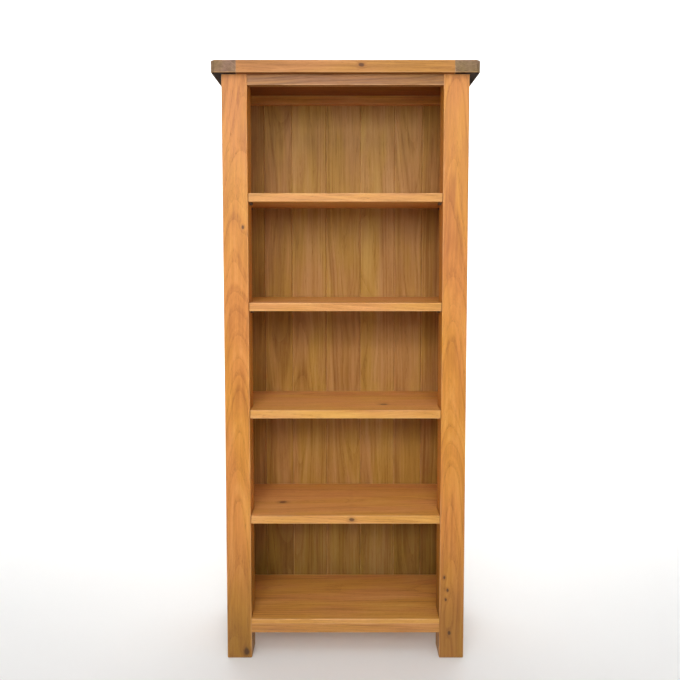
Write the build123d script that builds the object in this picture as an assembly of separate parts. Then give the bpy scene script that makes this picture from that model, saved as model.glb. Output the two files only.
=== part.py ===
from build123d import *
import os

os.makedirs("parts", exist_ok=True)

# Tall oak bookcase: a frame-and-panel case on four posts, a top with cleated ends, a tongue-and-groove back,
# a fixed bottom board and four shelves that rest on pins and can be set at other heights.
# Millimetres, +Z up, the front faces -Y. The origin is on the floor under the middle of the top.

# ---------------------------------------------------------------- driving dimensions

# Whole bookcase
height = 1800
top_width = 780
top_depth = 320
side_overhang = 27.5
front_overhang = 20

# Top: a glued panel with a cleat across each end
top_thick = 36
cleat_width = 74
cleat_tongue = 12
cleat_tongue_thick = 10
corner_clip = 11
top_edge_round = 2.5

# Posts
post_size = 75
back_post_width = 45
back_post_depth = 75
post_edge_round = 3
foot_chamfer = 2.5
foot_height = 80

# Rails between the posts
front_rail_thick = 22
front_rail_setback = 3
front_top_rail_height = 30
front_bottom_rail_height = 28
back_rail_thick = 20
back_top_rail_height = 28
side_rail_thick = 30
side_rail_height = 75
tenon_length = 28
tenon_thick = 10
tenon_shoulder = 5
back_tenon_length = 22
back_tenon_thick = 8
mortise_end_gap = 1

# Side panels: flush inside, held by a tongue in a groove all round
panel_thick = 16
panel_tongue_thick = 8
panel_tongue = 9
panel_groove = 10

# Back: vertical boards, with narrower ones at the sides and the first and the last ripped to fit
back_board_thick = 10
back_recess = 10
back_rebate = 10
back_side_gap = 1
back_end_gap = 2
full_boards = 3
narrow_board = 92.5
left_rip = 53.5
right_rip = 68.5
board_joint_gap = 0.6
board_tongue = 6
board_tongue_thick = 3.4
board_groove_gap = 0.3
board_bevel = 1.6

# Bottom board and the battens under its ends
bottom_board_thick = 16
bottom_board_round = 3
batten_thick = 20
batten_end_gap = 1

# Adjustable shelves
shelf_count = 4
shelf_thick = 25
shelf_side_gap = 1.5
shelf_back_gap = 2
shelf_edge_round = 1.5
top_compartment = 314

# Shelf pins and the holes they push into
pin_radius = 2.5
pin_hole_gap = 0.05
pin_peg = 10
pin_hole_depth = 12
pin_tip_chamfer = 0.6
pin_ledge_length = 9
pin_ledge_half_width = 5
pin_ledge_rise = 3
hole_pitch = 32
holes_each_way = 2

# Countersunk screws
top_screw_length = 50
top_screw_radius = 2.2
top_screw_sink = 6
board_screw_length = 25
board_screw_radius = 1.7
batten_screw_length = 34
batten_screw_radius = 2
batten_screw_inset = 35
screw_head_ratio = 2
screw_hole_gap = 0.05

# ---------------------------------------------------------------- places worked out from them

case_half = top_width / 2 - side_overhang
case_front = -top_depth / 2 + front_overhang
case_back = top_depth / 2
mouth_half = case_half - post_size
inner_half = case_half - back_post_width
front_post_back = case_front + post_size
back_post_front = case_back - back_post_depth
top_underside = height - top_thick
panel_half = top_width / 2 - cleat_width

back_face = case_back - back_recess - back_board_thick
bottom_rail_top = foot_height + front_bottom_rail_height
bottom_board_top = bottom_rail_top + bottom_board_thick
front_top_rail_bottom = top_underside - front_top_rail_height
back_top_rail_bottom = top_underside - back_top_rail_height
side_bottom_rail_top = foot_height + side_rail_height
side_top_rail_bottom = top_underside - side_rail_height

front_rail_front = case_front + front_rail_setback
front_rail_back = front_rail_front + front_rail_thick
back_rail_front = back_face - back_rail_thick
side_rail_outer = inner_half + side_rail_thick
panel_tongue_outer = inner_half + panel_thick
panel_tongue_inner = panel_tongue_outer - panel_tongue_thick

# The four lower compartments share equally what the top one leaves
shelf_pitch = (front_top_rail_bottom - bottom_board_top - top_compartment) / shelf_count
shelf_tops = [bottom_board_top + shelf_pitch * (shelf_count - i) for i in range(shelf_count)]

# Shelf pins sit in the middle of each post's clear inner face
pin_drop = shelf_thick + pin_ledge_rise
front_pin_y = case_front + post_size / 2
back_pin_y = (back_post_front + back_face) / 2

# Lines where one back board meets the next, from left to right
boards_half = inner_half + back_rebate - back_side_gap
full_board = (2 * boards_half - left_rip - right_rip - 2 * narrow_board) / full_boards
board_widths = [left_rip, narrow_board] + [full_board] * full_boards + [narrow_board, right_rip]
board_count = len(board_widths)
board_edges = [sum(board_widths[:i]) - boards_half for i in range(board_count + 1)]
board_joints = board_edges[1:-1]

# Screws up into the top stand on board joints, so they pass between the screws that hold the back
top_screw_x = [board_joints[1], board_joints[-2]]
front_screw_y = (front_rail_front + front_rail_back) / 2
back_screw_y = back_rail_front + back_rail_thick / 2
batten_z = (foot_height + bottom_rail_top) / 2
batten_screw_y = [front_post_back + batten_screw_inset, back_post_front - batten_screw_inset]


# ---------------------------------------------------------------- small helpers

def block(x, y, z):
    """A square-edged timber from pairs of (low, high) along each axis."""
    size = [high - low for low, high in (x, y, z)]
    centre = [(high + low) / 2 for low, high in (x, y, z)]
    return Pos(*centre) * Box(*size)


def rounded_along(shape, axis, radius):
    """The same timber with its edges along one axis eased."""
    return fillet(shape.edges().filter_by(axis), radius)


def rod(start, direction, radius, length):
    """A round bar or drill path from a point along a direction."""
    return extrude(Plane(origin=start, z_dir=direction) * Circle(radius), length)


def mirrored(shape):
    """The same piece for the other side of the bookcase."""
    return mirror(shape, about=Plane.YZ)


def screw(head_point, direction, radius, length):
    """A countersunk wood screw with a cross recess, its head flush with head_point."""
    head = radius * screw_head_ratio
    tip = 2 * radius
    outline = Polyline(
        (0, 0), (head, 0), (radius, head - radius), (radius, length - tip), (0, length), close=True
    )
    body = revolve(make_face(outline), Axis.Y)
    recess = Box(head, head / 2, head / 4) + Box(head / 4, head / 2, head)
    lying = Plane(origin=head_point, x_dir=Vector(direction).cross(Vector(0.3, 0.5, 0.8)), z_dir=direction)
    return lying * (Rot(90, 0, 0) * (body - recess))


def screw_hole(head_point, direction, radius, length):
    """The hole that a screw fills, with its countersink."""
    gap = screw_hole_gap
    head = radius * screw_head_ratio
    path = rod(head_point, direction, radius + gap, length + gap)
    sink_plane = Plane(origin=head_point, z_dir=direction)
    sink = loft([sink_plane * Circle(head + gap), sink_plane.offset(head - radius) * Circle(radius + gap)])
    return path + sink


# ---------------------------------------------------------------- top

def top_panel():
    """Panel with a tongue on each end and its long edges eased."""
    panel = block((-panel_half, panel_half), (-top_depth / 2, top_depth / 2), (top_underside, height))
    panel = rounded_along(panel, Axis.X, top_edge_round)
    middle = (height + top_underside) / 2
    tongue = block(
        (-panel_half - cleat_tongue, panel_half + cleat_tongue),
        (-top_depth / 2 + cleat_width / 2, top_depth / 2 - cleat_width / 2),
        (middle - cleat_tongue_thick / 2, middle + cleat_tongue_thick / 2),
    )
    panel += tongue
    for hole in top_screw_holes():
        panel -= hole
    return panel


def top_cleat():
    """Right-hand cleat across the panel's end, grooved for its tongue, with both outer corners clipped."""
    cleat = block((panel_half, top_width / 2), (-top_depth / 2, top_depth / 2), (top_underside, height))
    outer_corners = cleat.edges().filter_by(Axis.Z).group_by(Axis.X)[-1]
    cleat = chamfer(outer_corners, corner_clip)
    rims = cleat.faces().filter_by(Axis.Z).edges().filter_by(lambda e: e.center().X > panel_half + 1)
    cleat = fillet(rims, top_edge_round)
    middle = (height + top_underside) / 2
    groove = block(
        (panel_half, panel_half + cleat_tongue),
        (-top_depth / 2 + cleat_width / 2, top_depth / 2 - cleat_width / 2),
        (middle - cleat_tongue_thick / 2, middle + cleat_tongue_thick / 2),
    )
    return cleat - groove


def top_screw_places():
    """Head points of the screws that go up through the front and back top rails."""
    front = [(x, front_screw_y, front_top_rail_bottom + top_screw_sink) for x in top_screw_x]
    back = [(x, back_screw_y, back_top_rail_bottom + top_screw_sink) for x in top_screw_x]
    return front, back


def top_screw_holes():
    """Screw paths through both top rails and into the top, with the round sinks below the heads."""
    front, back = top_screw_places()
    holes = []
    for point in front + back:
        hole = screw_hole(point, (0, 0, 1), top_screw_radius, top_screw_length)
        sink = rod(point, (0, 0, -1), top_screw_radius * screw_head_ratio + screw_hole_gap, top_screw_sink)
        holes.append(hole + sink)
    return holes


# ---------------------------------------------------------------- posts

def pin_hole_heights():
    """Heights of all pin holes in one post: a row of holes about each shelf's place."""
    steps = range(-holes_each_way, holes_each_way + 1)
    return [shelf_top - pin_drop + step * hole_pitch for shelf_top in shelf_tops for step in steps]


def drilled(post, face_x, y):
    """The post with its rows of pin holes, drilled outwards from its inner face."""
    for z in pin_hole_heights():
        post -= rod((face_x, y, z), (1, 0, 0), pin_radius + pin_hole_gap, pin_hole_depth)
    return post


def side_joinery(y_face, direction):
    """What a post's face loses to the side rails' tenons and the side panel's tongue."""
    def span(depth):
        return sorted((y_face, y_face + direction * depth))
    tenon_x = side_tenon_x()
    cut = block((panel_tongue_inner, panel_tongue_outer), span(panel_groove),
                (side_bottom_rail_top - panel_groove, side_top_rail_bottom + panel_groove))
    for z in (side_tenon_z(foot_height), side_tenon_z(side_top_rail_bottom)):
        cut += block(tenon_x, span(tenon_length + mortise_end_gap), z)
    return cut


def side_tenon_x():
    """Across the side rail, its tenon is centred."""
    middle = (inner_half + side_rail_outer) / 2
    return middle - tenon_thick / 2, middle + tenon_thick / 2


def side_tenon_z(rail_bottom):
    """Along a side rail's height, the tenon keeps clear of the panel's groove."""
    shoulder = panel_groove + tenon_shoulder
    return rail_bottom + shoulder, rail_bottom + side_rail_height - shoulder


def front_post():
    """Right-hand front post, square, with its foot below the rails."""
    post = block((mouth_half, case_half), (case_front, front_post_back), (0, top_underside))
    post = rounded_along(post, Axis.Z, post_edge_round)
    post = chamfer(post.faces().sort_by(Axis.Z)[0].edges(), foot_chamfer)
    reach = (mouth_half, mouth_half + tenon_length + mortise_end_gap)
    for z in (front_tenon_z(foot_height, front_bottom_rail_height),
              front_tenon_z(front_top_rail_bottom, front_top_rail_height)):
        post -= block(reach, front_tenon_y(), z)
    post -= side_joinery(front_post_back, -1)
    return drilled(post, mouth_half, front_pin_y)


def front_tenon_y():
    """Through the front rail's thickness, its tenon is centred."""
    return front_screw_y - tenon_thick / 2, front_screw_y + tenon_thick / 2


def front_tenon_z(rail_bottom, rail_height):
    """Along a front rail's height, the tenon has an equal shoulder above and below."""
    return rail_bottom + tenon_shoulder, rail_bottom + rail_height - tenon_shoulder


def back_tenon_y():
    """Through the back rail's thickness, its tenon is centred."""
    return back_screw_y - back_tenon_thick / 2, back_screw_y + back_tenon_thick / 2


def back_post():
    """Right-hand back post, rebated behind for the back boards."""
    post = block((inner_half, case_half), (back_post_front, case_back), (0, top_underside))
    post = rounded_along(post, Axis.Z, post_edge_round)
    post = chamfer(post.faces().sort_by(Axis.Z)[0].edges(), foot_chamfer)
    post -= block((inner_half, inner_half + back_rebate), (back_face, case_back), (foot_height, top_underside))
    reach = (inner_half, inner_half + back_tenon_length + mortise_end_gap)
    for z in (front_tenon_z(foot_height, front_bottom_rail_height),
              front_tenon_z(back_top_rail_bottom, back_top_rail_height)):
        post -= block(reach, back_tenon_y(), z)
    post -= side_joinery(back_post_front, 1)
    return drilled(post, inner_half, back_pin_y)


# ---------------------------------------------------------------- rails

def front_rail(bottom, rail_height):
    """Rail between the front posts, with a tenon on each end."""
    rail = block((-mouth_half, mouth_half), (front_rail_front, front_rail_back), (bottom, bottom + rail_height))
    reach = mouth_half + tenon_length
    return rail + block((-reach, reach), front_tenon_y(), front_tenon_z(bottom, rail_height))


def back_rail(bottom, rail_height):
    """Rail between the back posts, in front of the back boards."""
    rail = block((-inner_half, inner_half), (back_rail_front, back_face), (bottom, bottom + rail_height))
    reach = inner_half + back_tenon_length
    return rail + block((-reach, reach), back_tenon_y(), front_tenon_z(bottom, rail_height))


def side_rail(bottom, groove_z):
    """Right-hand side rail, tenoned into both posts and grooved for the panel."""
    rail = block((inner_half, side_rail_outer), (front_post_back, back_post_front),
                 (bottom, bottom + side_rail_height))
    reach = (front_post_back - tenon_length, back_post_front + tenon_length)
    rail += block(side_tenon_x(), reach, side_tenon_z(bottom))
    return rail - block((panel_tongue_inner, panel_tongue_outer), (front_post_back, back_post_front), groove_z)


def side_panel():
    """Right-hand side panel: flush with the rails inside, its tongue in their grooves."""
    panel = block((inner_half, panel_tongue_outer), (front_post_back, back_post_front),
                  (side_bottom_rail_top, side_top_rail_bottom))
    tongue = block((panel_tongue_inner, panel_tongue_outer),
                   (front_post_back - panel_tongue, back_post_front + panel_tongue),
                   (side_bottom_rail_top - panel_tongue, side_top_rail_bottom + panel_tongue))
    return panel + tongue


# ---------------------------------------------------------------- back boards

def back_board(index):
    """One vertical board: a groove on its left edge and a tongue on its right, bevelled at each joint."""
    first = index == 0
    last = index == board_count - 1
    left = board_edges[index] + (0 if first else board_joint_gap / 2)
    right = board_edges[index + 1] - (0 if last else board_joint_gap / 2)
    z = (foot_height + back_end_gap, top_underside - back_end_gap)
    board = block((left, right), (back_face, back_face + back_board_thick), z)
    middle = back_face + back_board_thick / 2
    front_edges = board.edges().filter_by(Axis.Z).group_by(Axis.Y)[0].sort_by(Axis.X)
    joint_edges = ([] if first else [front_edges[0]]) + ([] if last else [front_edges[-1]])
    board = chamfer(joint_edges, board_bevel)
    if not last:
        half = board_tongue_thick / 2
        board += block((right, right + board_tongue), (middle - half, middle + half), z)
    if not first:
        half = board_tongue_thick / 2 + board_groove_gap
        board -= block((left, left + board_tongue + board_groove_gap), (middle - half, middle + half), z)
    for x in board_screw_x(index):
        for point in board_screw_points(x):
            board -= screw_hole(point, (0, -1, 0), board_screw_radius, board_screw_length)
    return board


def board_screw_x(index):
    """A board has two screws at each rail, a ripped one has one."""
    left, right = board_edges[index], board_edges[index + 1]
    if index in (0, board_count - 1):
        return [(max(left, -inner_half) + min(right, inner_half)) / 2]
    return [left + (right - left) / 4, right - (right - left) / 4]


def board_screw_points(x):
    """Head points at the bottom and the top rail, on the boards' back face."""
    y = back_face + back_board_thick
    return [(x, y, (foot_height + bottom_rail_top) / 2), (x, y, (back_top_rail_bottom + top_underside) / 2)]


# ---------------------------------------------------------------- bottom board, battens and shelves

def notched_board(gap, back, z):
    """A board that fills the case, cut back at its two front corners round the front posts."""
    front_part = block((gap - mouth_half, mouth_half - gap), (case_front, front_post_back + gap), z)
    main_part = block((gap - inner_half, inner_half - gap), (front_post_back + gap, back), z)
    return front_part + main_part


def bottom_board():
    """Fixed board on the bottom rails and battens, with its front edge rounded over the rail."""
    board = notched_board(0, back_face, (bottom_rail_top, bottom_board_top))
    front_edges = board.edges().filter_by(Axis.X).group_by(Axis.Y)[0]
    return fillet(front_edges, bottom_board_round)


def batten():
    """Right-hand batten under the end of the bottom board."""
    return block((inner_half - batten_thick, inner_half),
                 (front_post_back + batten_end_gap, back_rail_front - batten_end_gap),
                 (foot_height, bottom_rail_top))


def shelf(shelf_top):
    """Adjustable shelf, flush with the posts in front and notched round them."""
    board = notched_board(shelf_side_gap, back_face - shelf_back_gap, (shelf_top - shelf_thick, shelf_top))
    front_edges = board.edges().filter_by(Axis.X).group_by(Axis.Y)[0]
    return fillet(front_edges, shelf_edge_round)


def shelf_pin(face_x, y, shelf_top):
    """Right-hand pin: a round peg in the post and a flat-topped ledge under the shelf."""
    z = shelf_top - pin_drop
    peg = rod((face_x, y, z), (1, 0, 0), pin_radius, pin_peg)
    peg = chamfer(peg.faces().sort_by(Axis.X)[-1].edges(), pin_tip_chamfer)
    half = pin_ledge_half_width
    end = Plane(origin=(face_x, y, z), x_dir=(0, 1, 0), z_dir=(1, 0, 0))
    outline = Pos(0, pin_ledge_rise / 2) * Rectangle(2 * half, pin_ledge_rise) + Circle(half)
    outline -= Pos(0, pin_ledge_rise + half) * Rectangle(4 * half, 2 * half)
    return peg + extrude(end * outline, -pin_ledge_length)


# ---------------------------------------------------------------- assembly

pieces = {"top_panel": top_panel(), "bottom_board": bottom_board()}

# Pieces made right-handed, and mirrored for the left
right_hand = {
    "top_cleat": top_cleat(),
    "front_post": front_post(),
    "back_post": back_post(),
    "side_panel": side_panel(),
    "side_bottom_rail": side_rail(foot_height, (side_bottom_rail_top - panel_groove, side_bottom_rail_top)),
    "side_top_rail": side_rail(side_top_rail_bottom, (side_top_rail_bottom, side_top_rail_bottom + panel_groove)),
    "bottom_batten": batten(),
}
batten_screws = []
for y in batten_screw_y:
    place = ((inner_half - batten_thick, y, batten_z), (1, 0, 0), batten_screw_radius, batten_screw_length)
    right_hand["bottom_batten"] -= screw_hole(*place)
    right_hand["side_bottom_rail"] -= screw_hole(*place)
    batten_screws += [screw(*place), mirrored(screw(*place))]
for name, piece in right_hand.items():
    pieces[name + "_right"] = piece
    pieces[name + "_left"] = mirrored(piece)

# Rails across the case
pieces["front_bottom_rail"] = front_rail(foot_height, front_bottom_rail_height)
pieces["front_top_rail"] = front_rail(front_top_rail_bottom, front_top_rail_height)
pieces["back_bottom_rail"] = back_rail(foot_height, front_bottom_rail_height)
pieces["back_top_rail"] = back_rail(back_top_rail_bottom, back_top_rail_height)
for hole in top_screw_holes():
    pieces["front_top_rail"] -= hole
    pieces["back_top_rail"] -= hole

# Back boards and their screws
board_screws = []
for index in range(board_count):
    pieces[f"back_board_{index + 1}"] = back_board(index)
    for x in board_screw_x(index):
        for point in board_screw_points(x):
            rail = "back_bottom_rail" if point[2] < shelf_tops[-1] else "back_top_rail"
            pieces[rail] -= screw_hole(point, (0, -1, 0), board_screw_radius, board_screw_length)
            board_screws.append(screw(point, (0, -1, 0), board_screw_radius, board_screw_length))

# Shelves, numbered from the top, each with its four pins
for number, shelf_top in enumerate(shelf_tops, start=1):
    pieces[f"shelf_{number}"] = shelf(shelf_top)
    for row, face_x, y in (("front", mouth_half, front_pin_y), ("back", inner_half, back_pin_y)):
        pin = shelf_pin(face_x, y, shelf_top)
        pieces[f"pin_{number}_{row}_right"] = pin
        pieces[f"pin_{number}_{row}_left"] = mirrored(pin)

# Identical screws share a node
front_points, back_points = top_screw_places()
top_screws = [screw(p, (0, 0, 1), top_screw_radius, top_screw_length) for p in front_points + back_points]
pieces["top_screws"] = Compound(children=top_screws)
pieces["batten_screws"] = Compound(children=batten_screws)
pieces["back_board_screws"] = Compound(children=board_screws)

for name, piece in pieces.items():
    export_step(piece, f"parts/{name}.step")
    print(name, round(piece.volume / 1000, 1), "cm3")
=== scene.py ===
# A tall oak bookcase with four adjustable shelves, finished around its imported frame, in metres.
# Every piece keeps the shape it has in the frame and gets its own board of oak, or plain steel.

import math

import bpy
from mathutils import Euler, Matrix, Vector


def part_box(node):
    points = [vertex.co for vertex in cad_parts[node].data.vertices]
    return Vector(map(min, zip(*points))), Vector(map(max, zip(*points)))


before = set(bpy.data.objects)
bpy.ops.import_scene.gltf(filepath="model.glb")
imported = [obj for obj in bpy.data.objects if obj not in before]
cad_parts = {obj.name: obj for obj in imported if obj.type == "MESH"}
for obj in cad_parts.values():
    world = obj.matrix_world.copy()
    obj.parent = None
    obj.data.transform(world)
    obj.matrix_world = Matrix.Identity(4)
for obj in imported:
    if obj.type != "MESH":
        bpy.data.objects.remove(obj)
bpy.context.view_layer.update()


# ---- The studio
# A pale sweep of painted board, flat under the bookcase and curving up behind it.
# It is rolled out in one piece, and isn't part of the bookcase.


class Layer:
    """One result in a material's nodes. Sums add Math nodes, and node() adds any other kind."""

    def __init__(self, tree, socket=None):
        self.tree = tree
        self.socket = socket

    def feed(self, node, sockets):
        """Gives a node's sockets their values or links."""
        for key, value in sockets.items():
            if isinstance(value, Layer):
                self.tree.links.new(value.socket, node.inputs[key])
            else:
                node.inputs[key].default_value = value

    def node(self, kind, settings=None, sockets=None, out=0):
        """Adds a node: its settings first, then its sockets. Gives one of its outputs."""
        made = self.tree.nodes.new("ShaderNode" + kind)
        for key, value in (settings or {}).items():
            if key == "stops":
                ramp = made.color_ramp.elements
                ramp[0].position, ramp[1].position = value[0][0], value[-1][0]
                for place, _ in value[1:-1]:
                    ramp.new(place)
                for element, (_, colour) in zip(ramp, value):
                    element.color = (*colour, 1)
            else:
                setattr(made, key, value)
        self.feed(made, sockets or {})
        return Layer(self.tree, made.outputs[out])

    def also(self, out):
        """Another output of the same node."""
        return Layer(self.tree, self.socket.node.outputs[out])

    def sum(self, operation, first, second):
        return self.node("Math", {"operation": operation}, {0: first, 1: second})

    def __add__(self, other):
        return self.sum("ADD", self, other)

    __radd__ = __add__

    def __sub__(self, other):
        return self.sum("SUBTRACT", self, other)

    def __rsub__(self, other):
        return self.sum("SUBTRACT", other, self)

    def __mul__(self, other):
        return self.sum("MULTIPLY", self, other)

    __rmul__ = __mul__

    def __truediv__(self, other):
        return self.sum("DIVIDE", self, other)

    def __rtruediv__(self, other):
        return self.sum("DIVIDE", other, self)

    def __pow__(self, other):
        return self.sum("POWER", self, other)

    def __rpow__(self, other):
        return self.sum("POWER", other, self)

    def lower(self, other):
        """The smaller of the two."""
        return self.sum("MINIMUM", self, other)

    def higher(self, other):
        """The larger of the two."""
        return self.sum("MAXIMUM", self, other)

    def step(self, low, high):
        """0 below low and 1 above high, smooth between them, or the other way round."""
        return self.node("MapRange", {"interpolation_type": "SMOOTHSTEP"},
                         {"Value": self, "From Min": low, "From Max": high})

    def mix(self, first, second):
        """From the first colour to the second as this value goes from 0 to 1."""
        return self.node("Mix", {"data_type": "RGBA"}, {0: self, 6: first, 7: second}, 2)

    def tint(self, tone, amount=1.0):
        """This colour times a tone, as far as the amount goes."""
        return self.node("Mix", {"data_type": "RGBA", "blend_type": "MULTIPLY"},
                         {0: amount, 6: self, 7: tone}, 2)


def new_material(name):
    """A material with its Principled shader left in place, and a Layer to build on."""
    material = bpy.data.materials.new(name)
    material.use_nodes = True
    return material, Layer(material.node_tree)


def paint(layer, sockets):
    """Values and links for the Principled shader of the layer's material."""
    layer.feed(layer.tree.nodes["Principled BSDF"], sockets)


sweep_half_width = 30
sweep_front = -30
sweep_bend_start = 3.2
sweep_radius = 1.6
sweep_bend_parts = 12
sweep_height = 9
sweep_line = [(sweep_front, 0), (sweep_bend_start, 0)]
for part in range(1, sweep_bend_parts + 1):
    turn = math.radians(90 * part / sweep_bend_parts)
    sweep_line.append((sweep_bend_start + sweep_radius * math.sin(turn),
                       sweep_radius * (1 - math.cos(turn))))
sweep_line.append((sweep_bend_start + sweep_radius, sweep_height))
sweep_points = [(x, y, z) for y, z in sweep_line for x in (-sweep_half_width, sweep_half_width)]
sweep_faces = [(2 * i, 2 * i + 1, 2 * i + 3, 2 * i + 2) for i in range(len(sweep_line) - 1)]
sweep_mesh = bpy.data.meshes.new("studio_sweep")
sweep_mesh.from_pydata(sweep_points, [], sweep_faces)
for face in sweep_mesh.polygons:
    face.use_smooth = True
sweep = bpy.data.objects.new("studio_sweep", sweep_mesh)
bpy.context.scene.collection.objects.link(sweep)

sweep_grey = (0.86, 0.86, 0.855, 1)
sweep_white = (0.89, 0.89, 0.885, 1)
sweep_paint, layer = new_material("pale_paint")
mottle = layer.node("TexNoise", {}, {"Vector": layer.node("TexCoord", out="Object"),
                                     "Scale": 1.5, "Detail": 4})
paint(layer, {"Base Color": mottle.mix(sweep_grey, sweep_white), "Roughness": 0.8})
sweep_mesh.materials.append(sweep_paint)


# ---- Light and camera
# Two broad soft lights stand in front of the bookcase, one above the other, and a weak narrow one
# far off. A fourth, over the space behind, lifts the sweep to near white. A dim light from all
# round, a little stronger from overhead, fills the rest.

bpy.context.scene.view_settings.view_transform = "Standard"
world = bpy.data.worlds.new("studio_air")
bpy.context.scene.world = world
world.use_nodes = True
air = Layer(world.node_tree)
skyward = air.node("SeparateXYZ", {}, {0: air.node("TexCoord", out="Generated")}).also(2)
air_light = 0.40
more_overhead = 0.07
air.feed(world.node_tree.nodes["Background"],
         {"Color": (1, 1, 1, 1), "Strength": skyward.step(0.05, 0.7) * more_overhead + air_light})


def soft_light(name, place, aim, size, power, spread, colour=(1, 1, 1)):
    """A flat rectangular light at place, turned to aim, that spreads over so many degrees."""
    lamp = bpy.data.lights.new(name, "AREA")
    lamp.shape = "RECTANGLE"
    lamp.size, lamp.size_y = size
    lamp.energy = power
    lamp.spread = math.radians(spread)
    lamp.color = colour
    holder = bpy.data.objects.new(name, lamp)
    holder.location = place
    holder.rotation_euler = (Vector(aim) - Vector(place)).to_track_quat("-Z", "Y").to_euler()
    holder.visible_camera = False
    bpy.context.scene.collection.objects.link(holder)


soft_light("far_light", place=(-1.3, -9.5, 5.9), aim=(0, 0, 0.95), size=(2.2, 2.2),
           power=2, spread=14, colour=(1.0, 0.97, 0.90))
soft_light("front_light", place=(-0.20, -2.6, 2.0), aim=(0, -0.1, 1.1), size=(2.0, 0.9),
           power=19, spread=130)
soft_light("top_light", place=(-0.10, -2.1, 3.5), aim=(0, -0.1, 0.9), size=(1.6, 0.9),
           power=10, spread=130, colour=(0.97, 0.99, 1.0))
soft_light("sweep_light", place=(0, 1.5, 4.8), aim=(0, 4.5, 1.0), size=(10, 1.2),
           power=300, spread=130)

camera_data = bpy.data.cameras.new("camera")
camera_data.lens = 34.7
camera_data.shift_x = -0.008
camera_data.shift_y = -0.067
camera = bpy.data.objects.new("camera", camera_data)
camera.location = (0, -2.085, 1.24)
camera.rotation_euler = Euler((math.radians(86.5), 0, 0))
bpy.context.scene.collection.objects.link(camera)
bpy.context.scene.camera = camera


# ---- Front posts
# Two square oak posts that run from the floor to the top. Their lower ends are the front feet.
# Each is one straight-grained piece, planed, eased along its edges and oiled.

axes = {"X": 0, "Y": 1, "Z": 2}
amber = [(0.0, (0.25, 0.068, 0.009)), (0.32, (0.47, 0.158, 0.024)),
         (0.62, (0.655, 0.257, 0.043)), (1.0, (0.79, 0.37, 0.085))]
honey = [(0.0, (0.24, 0.082, 0.014)), (0.32, (0.47, 0.190, 0.040)),
         (0.62, (0.65, 0.290, 0.070)), (1.0, (0.77, 0.41, 0.12))]
honey_end = (0.62, 0.60, 0.56, 1)
pore_brown = (0.16, 0.055, 0.018, 1)
knot_brown = (0.30, 0.10, 0.028, 1)
knot_black = (0.10, 0.035, 0.012, 1)
wear_and_highlight_gold = (0.80, 0.45, 0.20, 1)
low_shade_tint = (0.54, 0.60, 0.50, 1)
year_width = 0.0052
wander_reach = 0.04
knot_squash = 0.62
knot_raggedness = 0.7
middle_tone = 0.60
oiled_roughness = 0.44
low_shade_height = 0.50
seed_count, seed_gap = 97, 0.37
bright_edge_from, bright_edge_to = 0.0042, 0.0008


def finish(piece, material):
    """Puts one material on a whole piece of the frame."""
    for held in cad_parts[piece].material_slots:
        held.material = material


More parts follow.
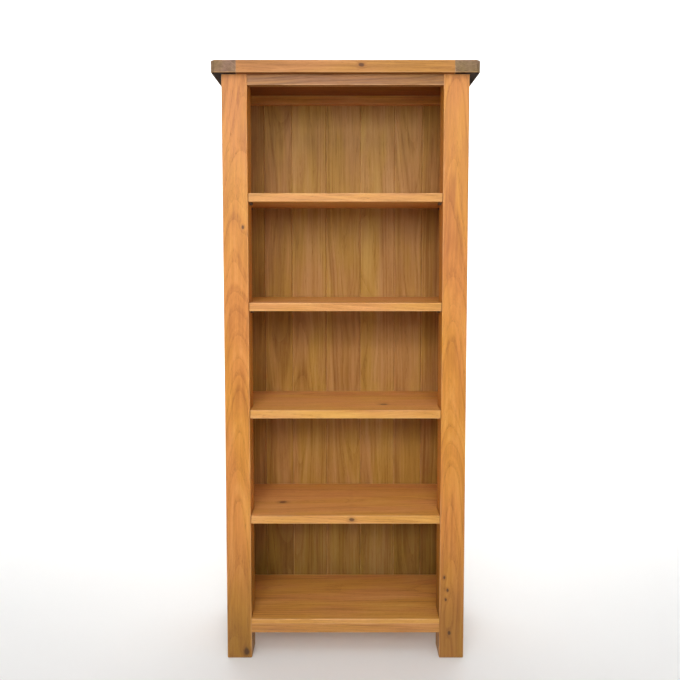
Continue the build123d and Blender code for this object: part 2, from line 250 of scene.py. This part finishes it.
def oak(piece, along, heart, lean=(0, 0), shade=0.0, warm=0.0, knots=(), tones=honey,
        end_tone=honey_end, underside_shade=1.0, shaded_low=False, polish=0.4):
    """Finishes a piece of the frame as its own board of oak, with its grain along X, Y or Z.

    heart is where the middle of the log lies, across the grain, and lean how it drifts along the
    board. shade makes the board lighter, and warm makes it redder. Each knot is (the way it runs,
    its place across, its place along, its radius). end_tone tints the end grain, and under darkens
    the underside with painted shade. A board marked soiled gets painted shade, darker toward the
    floor. polish is the shine of its wax.
    """
    seed = sum(ord(letter) * (i + 1) for i, letter in enumerate(piece)) % seed_count * seed_gap
    material, layer = new_material("oak_" + piece)
    w = axes[along]
    a, b = [i for i in range(3) if i != w]
    place = layer.node("TexCoord", out="Object")
    split = layer.node("SeparateXYZ", {}, {0: place})
    where = [split.also(i) for i in range(3)]
    low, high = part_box(piece)
    middle = (low[w] + high[w]) / 2

    def figure(across, lengthwise, detail, shift, grain=place, out=0):
        """Noise with its own fineness across the grain and along it, in cycles per metre."""
        scale = [lengthwise if i == w else across for i in range(3)]
        start = [seed + shift, seed * 1.7 + shift, seed * 2.3]
        spread = layer.node("VectorMath", {"operation": "MULTIPLY_ADD"},
                            {0: grain, 1: scale, 2: start})
        return layer.node("TexNoise", {}, {"Vector": spread, "Scale": 1, "Detail": detail,
                                           "Roughness": 0.55}, out)

    # The yearly rings run round the heart, wander a little, and flow round the knots
    sway = figure(across=4.5, lengthwise=1.3, detail=2, shift=3.1, out=1)
    wander = layer.node("SeparateXYZ", {}, {0: sway})
    upward = where[w] - middle
    off_a = where[a] - heart[0] - upward * lean[0] + (wander.also(0) - 0.5) * wander_reach
    off_b = where[b] - heart[1] - upward * lean[1] + (wander.also(1) - 0.5) * wander_reach
    radius = (off_a * off_a + off_b * off_b) ** 0.5
    drift = layer.node("CombineXYZ", {}, {a: off_a, b: off_b, w: where[w]})
    ragged = figure(across=70, lengthwise=40, detail=2, shift=9.4)
    nearest = None
    for runs, across, lengthwise, size in knots:
        side = where[a if axes[runs] == b else b] - across
        down = (where[w] - lengthwise) * knot_squash
        far = (side * side + down * down) ** 0.5 / size + (ragged - 0.5) * knot_raggedness
        swell = 1 / (1 + far * far * 0.22)
        radius = radius + swell * swell * (size * 1.1)
        nearest = far if nearest is None else nearest.lower(far)
    years = layer.node("TexNoise", {"noise_dimensions": "1D"},
                       {"W": radius * 110 + seed, "Scale": 1, "Detail": 3, "Roughness": 0.6})
    turns = radius / year_width + years * 1.5
    early = turns.node("Math", {"operation": "FRACT"}, {0: turns}).step(0.55, 0.02)

    # Streaks, clouds and open pores follow the grain, and rays cross it from the heart outward
    streak = figure(across=120, lengthwise=4.5, detail=3, shift=1.3, grain=drift)
    cloud = figure(across=16, lengthwise=3.5, detail=2, shift=5.2, grain=drift)
    pores = figure(across=1300, lengthwise=38, detail=1, shift=7.7, grain=drift).step(0.56, 0.70)
    pores = pores * (early * 0.7 + 0.3)
    around = layer.node("Math", {"operation": "ARCTAN2"}, {0: off_a, 1: off_b})
    ray_place = layer.node("CombineXYZ", {}, {0: around * 42, 1: radius * 55,
                                              2: where[w] * 26 + seed})
    rays = layer.node("TexNoise", {}, {"Vector": ray_place, "Scale": 1, "Detail": 2})
    rays = rays.step(0.60, 0.70)
    level = ((years - 0.5) * 0.52 + (streak - 0.5) * 0.64 + (cloud - 0.5) * 0.42 - early * 0.10
             + rays * 0.07 + (middle_tone + shade))
    colour = level.node("ValToRGB", {"stops": tones}, {"Fac": level})
    hue = figure(across=14, lengthwise=2.6, detail=2, shift=11.8, grain=drift).step(0.35, 0.65)
    yellower = (0.99 + warm, 1.02, 0.82 - warm, 1)
    redder = (1.01 + warm, 0.97, 1.16 - warm, 1)
    colour = colour.tint(hue.mix(yellower, redder))
    colour = (pores * 0.5).mix(colour, pore_brown)
    if knots:
        core = nearest.step(1.15, 0.55)
        colour = (nearest.step(2.3, 1.1) * 0.35).mix(colour, knot_brown)
        colour = (core * 0.85).mix(colour, knot_black)

    # End grain drinks more oil and dries darker. Some undersides are left rough and darkened with
    # painted shade, and what stands on the floor is darkened with painted shade toward its lower
    # end
    facing = layer.node("SeparateXYZ", {}, {0: layer.node("TexCoord", out="Normal")})
    end = facing.node("Math", {"operation": "ABSOLUTE"}, {0: facing.also(w)}).step(0.55, 0.85)
    colour = colour.tint(end_tone, end)
    # Painted shade: the underside is tinted darker
    if underside_shade < 1:
        down = facing.also(2).step(-0.5, -0.9)
        colour = colour.tint((underside_shade, underside_shade * 0.85, underside_shade * 0.7, 1), down)
    # Painted shade: darker toward the floor
    if shaded_low:
        colour = colour.tint(low_shade_tint, (where[2] + (cloud - 0.5) * 0.10).step(low_shade_height, 0.0))

    # Handling rubs the edges lighter, and the lighter edges are also a painted highlight along the
    # eased edges: the second nearest pair of faces says how near an edge is
    near = [(where[i] - low[i]).lower(high[i] - where[i]) for i in range(3)]
    least = near[0].lower(near[1]).lower(near[2])
    most = near[0].higher(near[1]).higher(near[2])
    edge = (near[0] + near[1] + near[2] - least - most).step(bright_edge_from, bright_edge_to)
    worn_and_highlit = edge * figure(across=30, lengthwise=9, detail=2, shift=13.5).step(0.30, 0.60)
    # Edges mixed toward gold: part wear, part painted highlight
    colour = (worn_and_highlit * 0.40).mix(colour, wear_and_highlight_gold)

    gloss = (oiled_roughness + (streak - 0.5) * 0.18 + pores * 0.22 - worn_and_highlit * 0.06
             + end * 0.12)
    height = early * -0.35 + pores * -0.8 + (streak - 0.5) * 0.9
    if underside_shade < 1:
        gloss = gloss + down * 0.5
    if knots:
        height = height - core * 0.6
    relief = layer.node("Bump", {}, {"Strength": 0.35, "Distance": 0.0006, "Height": height})
    paint(layer, {"Base Color": colour, "Roughness": gloss, "Normal": relief,
                  "Specular IOR Level": polish})
    finish(piece, material)


# Both front posts get painted shade toward the floor
oak("front_post_left", "Z", heart=(-0.315, -0.03), lean=(0.02, 0.05), tones=amber, shaded_low=True,
    knots=[("Y", -0.304, 0.021, 0.009), ("Y", -0.303, 1.32, 0.004)])
oak("front_post_right", "Z", heart=(0.322, -0.05), lean=(0.004, 0.045), tones=amber, shaded_low=True,
    knots=[("Y", 0.302, 0.255, 0.004), ("Y", 0.312, 0.215, 0.004), ("Y", 0.307, 0.185, 0.0035),
           ("Y", 0.318, 0.08, 0.005)])


# ---- Back posts
# Two slimmer oak posts behind, flush with the outside of the case. They end in the back feet.
# Each is rebated along its inner edge for the back boards.

# Both back posts get painted shade toward the floor
oak("back_post_left", "Z", heart=(-0.38, 0.06), lean=(0.02, 0.03), shade=-0.04, shaded_low=True)
oak("back_post_right", "Z", heart=(0.30, 0.22), lean=(-0.02, 0.02), shade=-0.02, shaded_low=True)


# ---- Side rails
# An oak rail at the top and at the bottom of each side.
# Its ends are tenoned into the posts, and it is grooved for the side panel.

oak("side_top_rail_left", "Y", heart=(-0.30, 1.60), shade=0.02)
oak("side_top_rail_right", "Y", heart=(0.42, 1.70), lean=(0.1, 0.1))
oak("side_bottom_rail_left", "Y", heart=(-0.40, 0.30), lean=(0.1, 0.1))
oak("side_bottom_rail_right", "Y", heart=(0.30, 0.02), shade=0.03)


# ---- Side panels
# A wide flat oak board between the posts and rails of each side.
# It sits loose in a groove all round, so that it can swell and shrink.

oak("side_panel_left", "Z", heart=(-0.55, 0.03), lean=(0.10, 0.02), shade=0.02,
    knots=[("X", 0.06, 1.10, 0.010)])
oak("side_panel_right", "Z", heart=(0.52, -0.01), lean=(-0.09, 0.02),
    knots=[("X", -0.02, 0.62, 0.012)])


# ---- Front and back rails
# Two oak rails between the front posts and two between the back posts, tenoned into them.
# They are set just behind the posts' faces, and the two front ones are duller than the posts.

fawn = [(0.0, (0.17, 0.066, 0.014)), (0.32, (0.345, 0.143, 0.034)),
        (0.62, (0.51, 0.222, 0.055)), (1.0, (0.64, 0.32, 0.10))]
oak("front_top_rail", "X", heart=(0.02, 1.85), lean=(0.02, 0.02), shade=-0.22, tones=fawn)
oak("front_bottom_rail", "X", heart=(-0.30, 0.20), lean=(0.05, 0.04), tones=fawn)
oak("back_top_rail", "X", heart=(0.20, 1.60), lean=(0.03, 0.02), shade=0.05, warm=0.03,
    polish=0.12)
oak("back_bottom_rail", "X", heart=(0.0, 0.30), lean=(0.03, 0.02), shade=-0.05)


# ---- Bottom board and battens
# One fixed oak board on the bottom rails, with a rounded front edge.
# A batten under each end of it is screwed to the side rail.

oak("bottom_board", "X", heart=(0.05, -0.12), lean=(0.05, 0.02), shade=0.06, warm=-0.03)
for side in ("left", "right"):
    oak("bottom_batten_" + side, "Y", heart=(-0.45, 0.0), shade=-0.08)


# ---- Back boards
# Seven upright oak boards, each from another plank, tongued and grooved and bevelled where
# they meet. They are screwed on from behind and have little wax.

pale = [(0.0, (0.155, 0.062, 0.012)), (0.32, (0.31, 0.146, 0.033)),
        (0.62, (0.45, 0.238, 0.062)), (1.0, (0.58, 0.350, 0.115))]
board_shades = [-0.10, -0.08, -0.01, 0.02, 0.09, -0.01, -0.09]
board_hearts = [(-0.42, 0.11), (-0.21, 0.02), (-0.16, 0.24), (0.02, 0.03),
                (0.06, 0.30), (0.23, 0.05), (0.40, 0.20)]
# Every back board gets painted shade toward the floor
for i, (shade, heart) in enumerate(zip(board_shades, board_hearts)):
    oak(f"back_board_{i + 1}", "Z", heart, lean=(0.012 * (-1) ** i, 0.012), shade=shade,
        tones=pale, shaded_low=True, polish=0.12)


# ---- Shelves
# Four loose shelves of solid oak with eased front edges, each a little different.
# Each one rests on four pins and lifts off them.

shelf_hearts = [(0.10, 1.30), (-0.05, 0.98), (0.08, 0.70), (-0.02, 0.30)]
shelf_shades = [0.02, 0.05, 0.18, 0.12]
shelf_knots = [[], [], [("Z", -0.06, 0.12, 0.008)],
               [("Z", -0.03, -0.20, 0.009), ("Y", 0.436, 0.019, 0.006)]]
for i, (heart, shade, knots) in enumerate(zip(shelf_hearts, shelf_shades, shelf_knots)):
    oak(f"shelf_{i + 1}", "X", heart, lean=(0.04, 0.03 * (-1) ** i), shade=shade, knots=knots)


# ---- Top
# A thick panel of solid oak, with a smoked oak cleat across each end to keep it flat.
# The cleats' ends show in front as dark end grain.

smoke = [(0.0, (0.10, 0.052, 0.026)), (0.4, (0.20, 0.115, 0.062)),
         (0.7, (0.30, 0.185, 0.105)), (1.0, (0.42, 0.28, 0.17))]
# The top and its cleats get painted shade on their undersides
oak("top_panel", "X", heart=(0.0, 1.66), lean=(0.05, 0.02), tones=fawn, underside_shade=0.55, polish=0.2,
    knots=[("Y", 1.785, 0.046, 0.006)])
oak("top_cleat_left", "Y", heart=(-0.36, 1.74), lean=(0.05, 0.0), tones=smoke,
    end_tone=(1, 1, 1, 1), underside_shade=0.12, polish=0.2)
oak("top_cleat_right", "Y", heart=(0.37, 1.82), lean=(0.05, 0.0), tones=smoke,
    end_tone=(0.97, 1.02, 0.97, 1), underside_shade=0.12, polish=0.2)


# ---- Shelf pins and screws
# Sixteen small steel pins, browned, hold the shelves up and pull out of their holes.
# Bright steel screws hold the top, the battens and the back boards.


def steel(name, light, dark, gloss):
    """Drawn steel: fine marks from the die, and a little grime in patches."""
    material, layer = new_material(name)
    place = layer.node("TexCoord", out="Object")
    marks = layer.node("TexNoise", {}, {"Vector": place, "Scale": 900, "Detail": 3})
    grime = layer.node("TexNoise", {}, {"Vector": place, "Scale": 130, "Detail": 3}).step(0.42, 0.7)
    relief = layer.node("Bump", {}, {"Strength": 0.25, "Distance": 0.0001, "Height": marks})
    paint(layer, {"Base Color": grime.mix(light, dark), "Metallic": 1.0, "Normal": relief,
                  "Roughness": gloss + marks * 0.15 + grime * 0.2})
    return material


pin_steel = steel("pin_steel", light=(0.20, 0.15, 0.10, 1), dark=(0.11, 0.08, 0.055, 1), gloss=0.34)
screw_steel = steel("screw_steel", light=(0.60, 0.56, 0.44, 1), dark=(0.36, 0.32, 0.24, 1),
                    gloss=0.28)
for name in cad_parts:
    if name.startswith("pin_"):
        finish(name, pin_steel)
    elif name.endswith("_screws"):
        finish(name, screw_steel)
